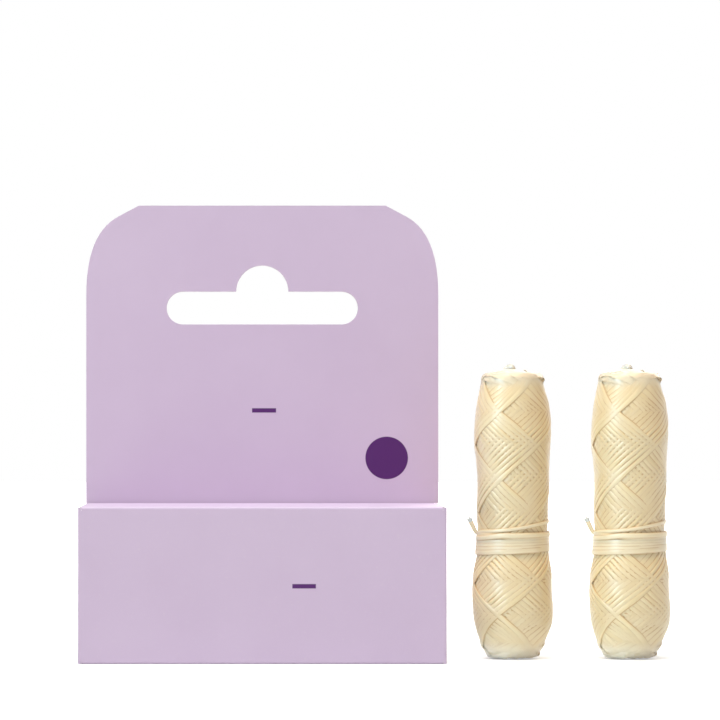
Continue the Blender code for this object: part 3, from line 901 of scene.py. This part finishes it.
def layWinding():
    count = round(strand["cycles"] * strand["turnsPerCycle"] * strand["pointsPerTurn"])
    leastWidth, widerFlat, widerAtEnds = strand["widths"]
    mostThickness, thinnerFlat = strand["thicknesses"]
    places, outs, widths, thicknesses = [], [], [], []
    for step in range(count + 1):
        turns = step / strand["pointsPerTurn"]
        place, out, edge = layPoint(turns)
        flat = max(flatness(place, turns), strand["flatAtEnds"] * edge)
        places.append(place)
        outs.append(out)
        widths.append(strand["width"] * (leastWidth + widerFlat * flat + widerAtEnds * edge))
        thicknesses.append(strand["thickness"] * (mostThickness - thinnerFlat * flat))
    return tube(places, outs, widths, thicknesses, strand["sides"])


# a pale painted sheen for both ends of the refill
paleEndSheen = (0.88, 0.80, 0.66, 1)
flossTones = {
    # its colour, where it is deeper, the painted shade in the grooves between strands, and the painted pale
    # sheen over the two ends
    "waxedFloss": ((0.86, 0.685, 0.42, 1), (0.81, 0.605, 0.325, 1), (0.54, 0.28, 0.08, 1), paleEndSheen),
    "tieFloss": ((0.88, 0.73, 0.50, 1), (0.84, 0.67, 0.42, 1), (0.60, 0.37, 0.16, 1), paleEndSheen),
    "cutFlossEnd": ((0.72, 0.72, 0.68, 1), (0.62, 0.62, 0.58, 1), (0.34, 0.34, 0.30, 1),
                    (0.72, 0.72, 0.68, 1)),
}

flossLook = {
    # a noise as scale, detail and roughness, and how it is drawn out along the length and round the girth
    "fibres": (1.0, 3, 0.6),
    "fibresDrawn": (260, 26, 1),
    "fibreDepth": 0.00003,
    "fibreStrength": 0.5,
    "tone": (1.0, 3, 0.55),
    "toneDrawn": (38, 0.4, 1),
    "wax": (380, 3, 0.55),
    "roughness": (0.34, 0.52),
    "grooveShadeShare": 0.75,
    "grooveShadeRange": (0.6, 0.95),
    # where up the refill the painted groove shade shows, and where the colour is free of the painted end sheen:
    # lowest, highest and soft edge
    "grooveShaded": (0.0035, 0.0445, 0.002),
    "clearOfEndSheen": (0.0014, 0.0466, 0.0016),
}


def flossFinish(name, colour, deeper, grooveShade, ends):
    finish = Finish(name, Specular_IOR_Level=0.9, Subsurface_Weight=0.12,
                    Subsurface_Radius=(0.0010, 0.0006, 0.0003), Subsurface_Scale=1.0,
                    Coat_Weight=0.4, Coat_Roughness=0.36, Sheen_Weight=0.3, Sheen_Roughness=0.4)
    fibres = finish.noise("UV", *flossLook["fibres"], flossLook["fibresDrawn"])
    tone = finish.noise("UV", *flossLook["tone"], flossLook["toneDrawn"])
    wax = finish.noise("Object", *flossLook["wax"])
    body = finish.toned(tone, colour, deeper)
    # the girth is the V of the UV map: a strand's two sides are where it meets its neighbours, and there the
    # shade of the grooves is painted
    girth = finish.axes(finish.coordinates("UV"))["Y"]
    sideways = finish.calc("ABSOLUTE", finish.calc("COSINE", finish.calc("MULTIPLY", girth, 2 * math.pi)))
    beside = finish.ranged(sideways, 0, flossLook["grooveShadeShare"], *flossLook["grooveShadeRange"])
    # the painted groove shade fades out at the rims, where the strands lie apart and their sides catch the
    # light; over the ends a pale sheen is painted
    height = finish.axes()["Z"]
    beside = finish.calc("MULTIPLY", beside, finish.between(height, *flossLook["grooveShaded"]))
    body = finish.mixed(finish.between(height, *flossLook["clearOfEndSheen"]), ends, body)
    # the painted groove shade darkens the strands' sides
    finish.feed("Base Color", finish.mixed(beside, body, grooveShade))
    finish.feed("Roughness", finish.ranged(wax, *flossLook["roughness"], *usualSpan))
    finish.feed("Normal", finish.bump(fibres, flossLook["fibreDepth"], flossLook["fibreStrength"]))
    return finish.material


cream, tieCream, paleEnd = [flossFinish(name, *tones) for name, tones in flossTones.items()]

innerLayers = {
    "rings": 90,
    "segments": 64,
    "poleGap": 0.0001,
    "poleRadius": 0.00001,
    "weld": 0.00003,
    "under": 0.00003,                   # below the first pass
    "endShare": 0.45,
    "leastRadius": 0.003,
    "tonesUp": 900,
}


def buildBody():
    # the layers under the outer strands, as one turned body
    bm = bmesh.new()
    last = None
    total, low = outlineAlong[-1], strand["strokeEnd"]
    for along in np.linspace(innerLayers["poleGap"], total - innerLayers["poleGap"], innerLayers["rings"]):
        toEnd = min(along, total - along) - low
        edge = min(max(1 - toEnd / (strand["overEndShare"] * (total - 2 * low)), 0), 1)
        under = strand["buildUp"] + innerLayers["under"] + strand["endBuildUp"] * edge * innerLayers["endShare"]
        radius, height, _ = onEnvelope(along, under)
        vertex = bm.verts.new((max(radius, innerLayers["poleRadius"]), 0, height))
        if last:
            bm.edges.new((last, vertex))
        last = vertex
    bmesh.ops.spin(bm, geom=list(bm.verts) + list(bm.edges), cent=(0, 0, 0), axis=(0, 0, 1),
                   angle=2 * math.pi, steps=innerLayers["segments"], use_merge=True)
    closeUp(bm, innerLayers["weld"])
    for vertex in bm.verts:
        x, y, height = vertex.co
        radius = math.hypot(x, y)
        vertex.co.xy *= 1 + lump(math.atan2(y, x), height) / max(radius, innerLayers["leastRadius"])
    keepFlat(bm, "alongStrand", lambda spot: (math.atan2(spot.y, spot.x) * refill["meanRadius"],
                                              spot.z * innerLayers["tonesUp"]))
    return bm


waistTie = {
    # turn round the waist from the tail, which is at the left, height, and how far it stands off the winding
    "lay": [(0.0, 0.02085, 0.00024), (0.12, 0.02125, 0.00016), (0.5, 0.0229, 0.00012), (0.75, 0.0222, 0.00012),
            (0.97, 0.0209, 0.00018), (1.1, 0.02065, 0.00022), (1.3, 0.02015, 0.00024), (1.5, 0.02025, 0.00022),
            (1.75, 0.0202, 0.0002), (1.96, 0.02, 0.0002), (2.06, 0.02012, 0.0004), (2.22, 0.02062, 0.00045),
            (2.5, 0.02078, 0.00034), (2.75, 0.0202, 0.00026), (3.0, 0.01944, 0.00026), (3.5, 0.01964, 0.00026),
            (4.0, 0.01886, 0.00027), (4.5, 0.01918, 0.00027), (5.0, 0.01828, 0.00028), (5.5, 0.01872, 0.00028),
            (6.0, 0.01772, 0.00026), (6.5, 0.01832, 0.00026), (6.8, 0.01800, 0.0001)],
    "width": 0.00088,
    "thickness": 0.00018,
    "pointsPerTurn": 60,
    "sides": 10,
    "bearing": 0.0004,                  # it bears on the widest place this near to its height
    # how far it wavers up and down and in width, with the rate along the turns and the row of the noise
    "waver": (0.00006, 2.3, 1.7),
    "spread": (0.3, 3.1, 8.3),
    "leastWidth": 0.85,
    "slantWidth": 0.74,                 # in its first turn, which slants
    "flatAfter": 2.75,                  # turns, and how thick it is from there on
    "flatThickness": 0.6,
    "tail": (-0.0012, -0.0003, 0.0024),
    "tailPoints": 10,
    "tailCurve": 1.15,
    "tailFaces": (-0.4, -0.9, 0),
    "tailWidens": 0.2,
    "tailThickness": 1.3,
    "paleLength": 0.0008,
}

frayedEnd = {
    "hairs": 7,
    "length": 0.0008,
    "width": 0.00016,
    "points": 5,
    "sides": 5,
    "back": 0.0003,                     # how far behind the tip they start
    "spread": 0.36,
    "lean": (0.45, 0.25),               # to the sides and outwards
    "leanRate": 2.1,
    "lengths": (0.75, 0.25),
    "lengthRate": 1.7,
    "curl": 0.00006,
    "taper": 0.15,
}


def fray(bm, tip, forward, out):
    # short hairs that spread from a cut end, with the second finish
    across = forward.cross(out).normalized()
    sideways, outwards = frayedEnd["lean"]
    least, more = frayedEnd["lengths"]
    points = frayedEnd["points"]
    for index in range(frayedEnd["hairs"]):
        share = (index + 0.5) / frayedEnd["hairs"] * 2 - 1
        rise = math.sin(index * frayedEnd["leanRate"])
        lean = (forward + across * share * sideways + out * outwards * rise).normalized()
        start = tip - forward * frayedEnd["back"] + across * share * waistTie["width"] * frayedEnd["spread"]
        long = frayedEnd["length"] * (least + more * math.cos(index * frayedEnd["lengthRate"]))
        run = [start + lean * long * step / (points - 1) + out * frayedEnd["curl"] * math.sin(step + index)
               for step in range(points)]
        wide = [frayedEnd["width"] * (1 - frayedEnd["taper"] * step) for step in range(points)]
        hair = tube(run, [out] * points, wide, wide, frayedEnd["sides"])
        for face in hair.faces:
            face.material_index = 1
        part = bpy.data.meshes.new("hair")
        hair.to_mesh(part)
        hair.free()
        bm.from_mesh(part)
        bpy.data.meshes.remove(part)
    return bm


def easedBetween(value, keys, values):
    # between two keys the value eases from one to the next
    index = min(max(int(np.searchsorted(keys, value, side="right")) - 1, 0), len(keys) - 2)
    share = eased(min(max((value - keys[index]) / (keys[index + 1] - keys[index]), 0), 1))
    return values[index] * (1 - share) + values[index + 1] * share


def tieRadius(height):
    bearing = waistTie["bearing"]
    near = [np.abs(outlinePoints[:, 1] - (height + off)).argmin() for off in (-bearing, 0, bearing)]
    return max(outlinePoints[index, 0] for index in near)


def layTie():
    # One strand: its tail at the left, the slanting turn, two turns that cross, then the turns side by side.
    width, thickness = waistTie["width"], waistTie["thickness"]
    turnKeys, heightKeys, liftKeys = zip(*waistTie["lay"])
    count = round(turnKeys[-1] * waistTie["pointsPerTurn"])
    waver, waverRate, waverRow = waistTie["waver"]
    wider, spreadRate, spreadRow = waistTie["spread"]
    places, outs, widths, thicknesses = [], [], [], []
    for step in range(count + 1):
        turn = turnKeys[-1] * step / count
        height, lift = easedBetween(turn, turnKeys, heightKeys), easedBetween(turn, turnKeys, liftKeys)
        height += waver * noise.noise(Vector((turn * waverRate, waverRow, 0)))
        angle = 2 * math.pi * (turn + 0.5)
        radius = tieRadius(height) + lift - thickness / 2
        places.append(Vector((radius * math.cos(angle), radius * math.sin(angle), height)))
        outs.append(Vector((math.cos(angle), math.sin(angle), 0)))
        spread = 0.5 + 0.5 * noise.noise(Vector((turn * spreadRate, spreadRow, 0)))
        widths.append(width * (waistTie["slantWidth"] if turn < 1 else waistTie["leastWidth"] + wider * spread))
        thicknesses.append(thickness * (1.0 if turn < waistTie["flatAfter"] else waistTie["flatThickness"]))
    leave, reach = places[0], Vector(waistTie["tail"])
    tail = []
    for step in range(waistTie["tailPoints"], 0, -1):
        share = step / waistTie["tailPoints"]
        rise = reach.z * share ** waistTie["tailCurve"]
        tail.append(leave + Vector((reach.x * share, reach.y * share, rise)))
    count = len(tail)
    slant, widens = waistTie["slantWidth"], waistTie["tailWidens"]
    outs = [Vector(waistTie["tailFaces"]).normalized()] * count + outs
    widths = [width * (slant + widens * step / count) for step in range(count, 0, -1)] + widths
    thicknesses = [thickness * waistTie["tailThickness"]] * count + thicknesses
    bm = tube(tail + places, outs, widths, thicknesses, waistTie["sides"])
    layer = bm.loops.layers.uv.active
    for face in bm.faces:
        if max(loop[layer].uv.x for loop in face.loops) < waistTie["paleLength"]:
            face.material_index = 1
    return fray(bm, tail[0], (tail[0] - tail[1]).normalized(), outs[0])


endLoop = {
    "middle": -0.0006,
    "half": 0.00062,
    "rise": 0.00078,
    "roundness": 0.7,
    "foot": 0.0477,
    "tilt": 0.0002,
    "forward": -0.0003,
    "twist": 0.0003,
    "faces": (0.2, -1, 0.3),
    "width": 0.00095,
    "thickness": 0.00062,
    "steps": 20,
    "sides": 12,
}


def layEndLoop():
    # the strand's first end, doubled over above the middle of the top
    places, outs = [], []
    for step in range(endLoop["steps"] + 1):
        angle = math.pi * step / endLoop["steps"]
        x = endLoop["middle"] - endLoop["half"] * math.cos(angle)
        y = endLoop["forward"] + endLoop["twist"] * math.sin(angle * 2)
        bow = endLoop["rise"] * math.sin(angle) ** endLoop["roundness"]
        places.append(Vector((x, y, endLoop["foot"] + bow - endLoop["tilt"] * math.cos(angle))))
        outs.append(Vector(endLoop["faces"]).normalized())
    count = len(places)
    return tube(places, outs, [endLoop["width"]] * count, [endLoop["thickness"]] * count, endLoop["sides"])


def buildRefills():
    makings = (("Winding", layWinding, "winding", cream, "floss"),
               ("InnerLayers", buildBody, "core", cream, "floss"),
               ("WaistTie", layTie, "waist_tie", tieCream, "floss"),
               ("EndLoop", layEndLoop, "end_loop", paleEnd, "floss_end"))
    for word, build, node, material, slot in makings:
        bm = build()
        for side in ("left", "right"):
            low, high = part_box(f"{side}_refill_core")
            across = (low[0] + high[0]) / 2
            placed = bm.copy()
            bmesh.ops.translate(placed, vec=(across, 0, 0), verts=placed.verts)
            piece = finishPiece(placed, f"{side}Refill{word}", [material, paleEnd], refill["smoothAngle"],
                                refillsLit)
            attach(piece, f"{side}_refill")
            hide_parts(f"{side}_refill_{node}")
        bm.free()
        print("refills:", word)


buildRefills()
